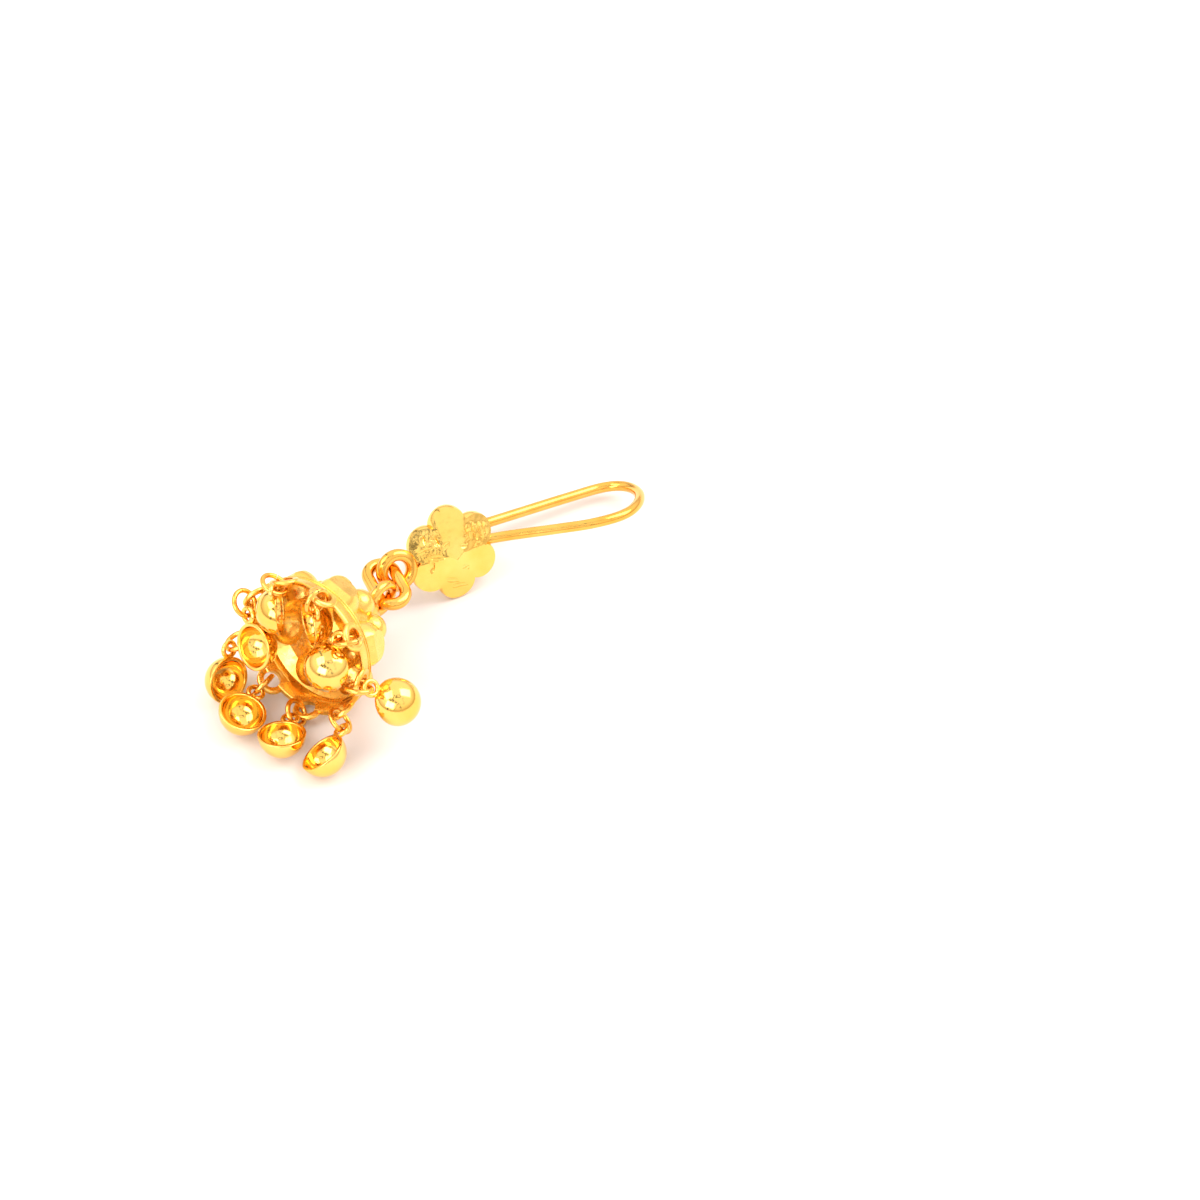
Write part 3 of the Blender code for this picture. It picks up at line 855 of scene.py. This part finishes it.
def makeCupMeshes():
    outer = drop["cupRadius"]
    inner = outer - drop["cupWall"]
    steps = 12 * fine
    section = []
    for step in range(steps + 1):
        angle = math.radians(90 - 90 * step / steps)
        section.append((outer * math.cos(angle), -outer * math.sin(angle)))
    lip = (outer - inner) / 2
    lipSteps = 8
    for step in range(1, lipSteps):
        angle = math.radians(180 * step / lipSteps)
        rise = drop["lipRise"] * lip * math.sin(angle)
        section.append((outer - lip + lip * math.cos(angle), rise))
    for step in range(steps + 1):
        angle = math.radians(90 * step / steps)
        section.append((inner * math.cos(angle), -inner * math.sin(angle)))
    shell = spunMesh(section, steps=36, loop=False)
    place = Matrix.Translation((eyeOffset, 0, -drop["eyeWire"] / 2))
    return [shell, ringMesh(drop["eyeOuter"], drop["eyeWire"], place, steps=30, sides=16)]


def makeDrops():
    radius = (drop["jumpOuter"] - drop["jumpWire"]) / 2
    gap = drop["jointGap"]
    steps = 30 * fine
    for number, row in enumerate(drop["poses"], start=1):
        ringPlace, cupPlace = placeDrop(row)
        route = [
            polar(radius, 180 + gap / 2 + (360 - gap) * step / steps) for step in range(steps + 1)
        ]
        finishPiece(
            f"jumpRing{number}",
            [wireMesh(route, drop["jumpWire"], sides=14)],
            ringPlace,
            goldOf["wire"],
            [f"jump_ring_{number}"],
            sharp=40,
        )
        finishPiece(
            f"dropCup{number}",
            makeCupMeshes(),
            cupPlace,
            goldOf["cup"],
            [f"drop_cup_{number}"],
            sharp=40,
        )


makeDrops()
print("drops made")

# table, light and camera
studio = {
    "lensHeight": 47.0,  # how high the camera looks down from
    "lensTurn": -27.0,
    "distance": 600.0,
    "frameWidth": 102.0,
    "lookRight": 12.835,
    "lookUp": -4.25,
    "floor": 500.0,
    "floorColour": (0.785, 0.73, 0.695),  # lit it reads white, and its shadows turn peach
    "strokeScale": 2.4,
    "strokeWidth": 0.02,
    "strokeDark": 0.85,
    "strokesWithin": (0.72, 0.86),  # cosines of the angle from the lens
    "sky": 1.33,
    "horizon": (0.5, 0.425, 0.35),
    "whiteFrom": 0.36,  # how high the sky is white
    "stand": 0.03,  # half the width of the dark upright behind the table
    "standWay": (150, 10),
    "standAside": 0.6,
    "standDark": 0.25,
    # lamp panels: name, heading, pitch, width and height in metres, power
    "lamps": (
        ("rightPanel", -10, 50, 0.3, 0.4, 1.4),
        ("leftPanel", 160, 55, 0.3, 0.3, 0.8),
        ("mouthPanel", -150, 28, 0.35, 0.25, 1.3),
    ),
    "lampDistance": 0.5,
}

rightWay = direction(studio["lensTurn"], 0)
awayWay = direction(studio["lensTurn"] + 90, 0)
tilt = math.radians(studio["lensHeight"])
upWay = awayWay * math.sin(tilt) + Vector((0, 0, math.cos(tilt)))
towardWay = Vector((0, 0, math.sin(tilt))) - awayWay * math.cos(tilt)


def makeCamera():
    aim = Vector(lie["flowerCentre"]) + rightWay * studio["lookRight"] + upWay * studio["lookUp"]
    data = bpy.data.cameras.new("camera")
    data.sensor_width = 36.0
    data.lens = data.sensor_width * studio["distance"] / studio["frameWidth"]
    data.clip_start = 0.01
    camera = bpy.data.objects.new("camera", data)
    bpy.context.scene.collection.objects.link(camera)
    place = pose(aim + towardWay * studio["distance"], rightWay, towardWay)
    place.translation = place.translation * millimetre
    camera.matrix_world = place
    bpy.context.scene.camera = camera


def makeFloor():
    bm = bmesh.new()
    halfSide = studio["floor"] * millimetre / 2
    bmesh.ops.create_grid(bm, x_segments=4, y_segments=4, size=halfSide)
    mesh = bpy.data.meshes.new("floor")
    bm.to_mesh(mesh)
    bm.free()
    floor = bpy.data.objects.new("floor", mesh)
    bpy.context.scene.collection.objects.link(floor)
    material = bpy.data.materials.new("whiteBoard")
    material.use_nodes = True
    shader = material.node_tree.nodes["Principled BSDF"]
    shader.inputs["Base Color"].default_value = (*studio["floorColour"], 1)
    shader.inputs["Roughness"].default_value = 0.9
    shader.inputs["Specular IOR Level"].default_value = 0.0
    mesh.materials.append(material)


def softBox(name, heading, pitch, width, height, power):
    # a lamp panel that faces the object
    data = bpy.data.lights.new(name, "AREA")
    data.shape = "RECTANGLE"
    data.size = width
    data.size_y = height
    data.energy = power
    lamp = bpy.data.objects.new(name, data)
    bpy.context.scene.collection.objects.link(lamp)
    way = direction(heading, pitch)
    lamp.matrix_world = pose(way * studio["lampDistance"], Vector((0, 0, 1)).cross(way), way)


def makeSky():
    world = bpy.data.worlds.new("studio")
    bpy.context.scene.world = world
    world.use_nodes = True
    tree = world.node_tree
    background = tree.nodes["Background"]
    way = addNode(tree, "ShaderNodeTexCoord").outputs["Generated"]
    height = addNode(tree, "ShaderNodeSeparateXYZ", {"Vector": way}).outputs["Z"]
    ramp = addNode(tree, "ShaderNodeValToRGB", {"Fac": height})
    ramp.color_ramp.elements[0].position = 0.0
    ramp.color_ramp.elements[0].color = (*studio["horizon"], 1)
    ramp.color_ramp.elements[1].position = studio["whiteFrom"]
    ramp.color_ramp.elements[1].color = (1, 1, 1, 1)

    def cosineTo(target):
        inputs = {0: way, 1: target}
        made = addNode(tree, "ShaderNodeVectorMath", inputs, operation="DOT_PRODUCT")
        return made.outputs["Value"]

    # the dark things round the lens, seen as short uneven strokes in the middle of each ball
    near = rampOf(tree, cosineTo(towardWay), *studio["strokesWithin"], 0.0, 1.0)
    uneven = addNode(
        tree, "ShaderNodeTexNoise", {"Vector": way, "Scale": studio["strokeScale"], "Detail": 1.0}
    ).outputs["Fac"]
    uneven = mathOf(tree, "ABSOLUTE", mathOf(tree, "SUBTRACT", uneven, 0.5))
    width = studio["strokeWidth"]
    stroke = rampOf(tree, uneven, width, 2 * width, studio["strokeDark"], 0.0)
    lens = mathOf(tree, "SUBTRACT", 1.0, mathOf(tree, "MULTIPLY", near, stroke))
    # a dark upright, seen as thin dark curves in the gold
    aside = cosineTo(direction(*studio["standWay"]))
    off = mathOf(tree, "ABSOLUTE", mathOf(tree, "SUBTRACT", aside, studio["standAside"]))
    upright = rampOf(tree, off, studio["stand"], 2 * studio["stand"], studio["standDark"], 1.0)
    shade = mathOf(tree, "MULTIPLY", mathOf(tree, "MULTIPLY", lens, studio["sky"]), upright)
    tree.links.new(ramp.outputs["Color"], background.inputs["Color"])
    tree.links.new(shade, background.inputs["Strength"])


makeCamera()
makeFloor()
makeSky()
for row in studio["lamps"]:
    softBox(*row)
bpy.context.scene.view_settings.view_transform = "Standard"

print("scene made")
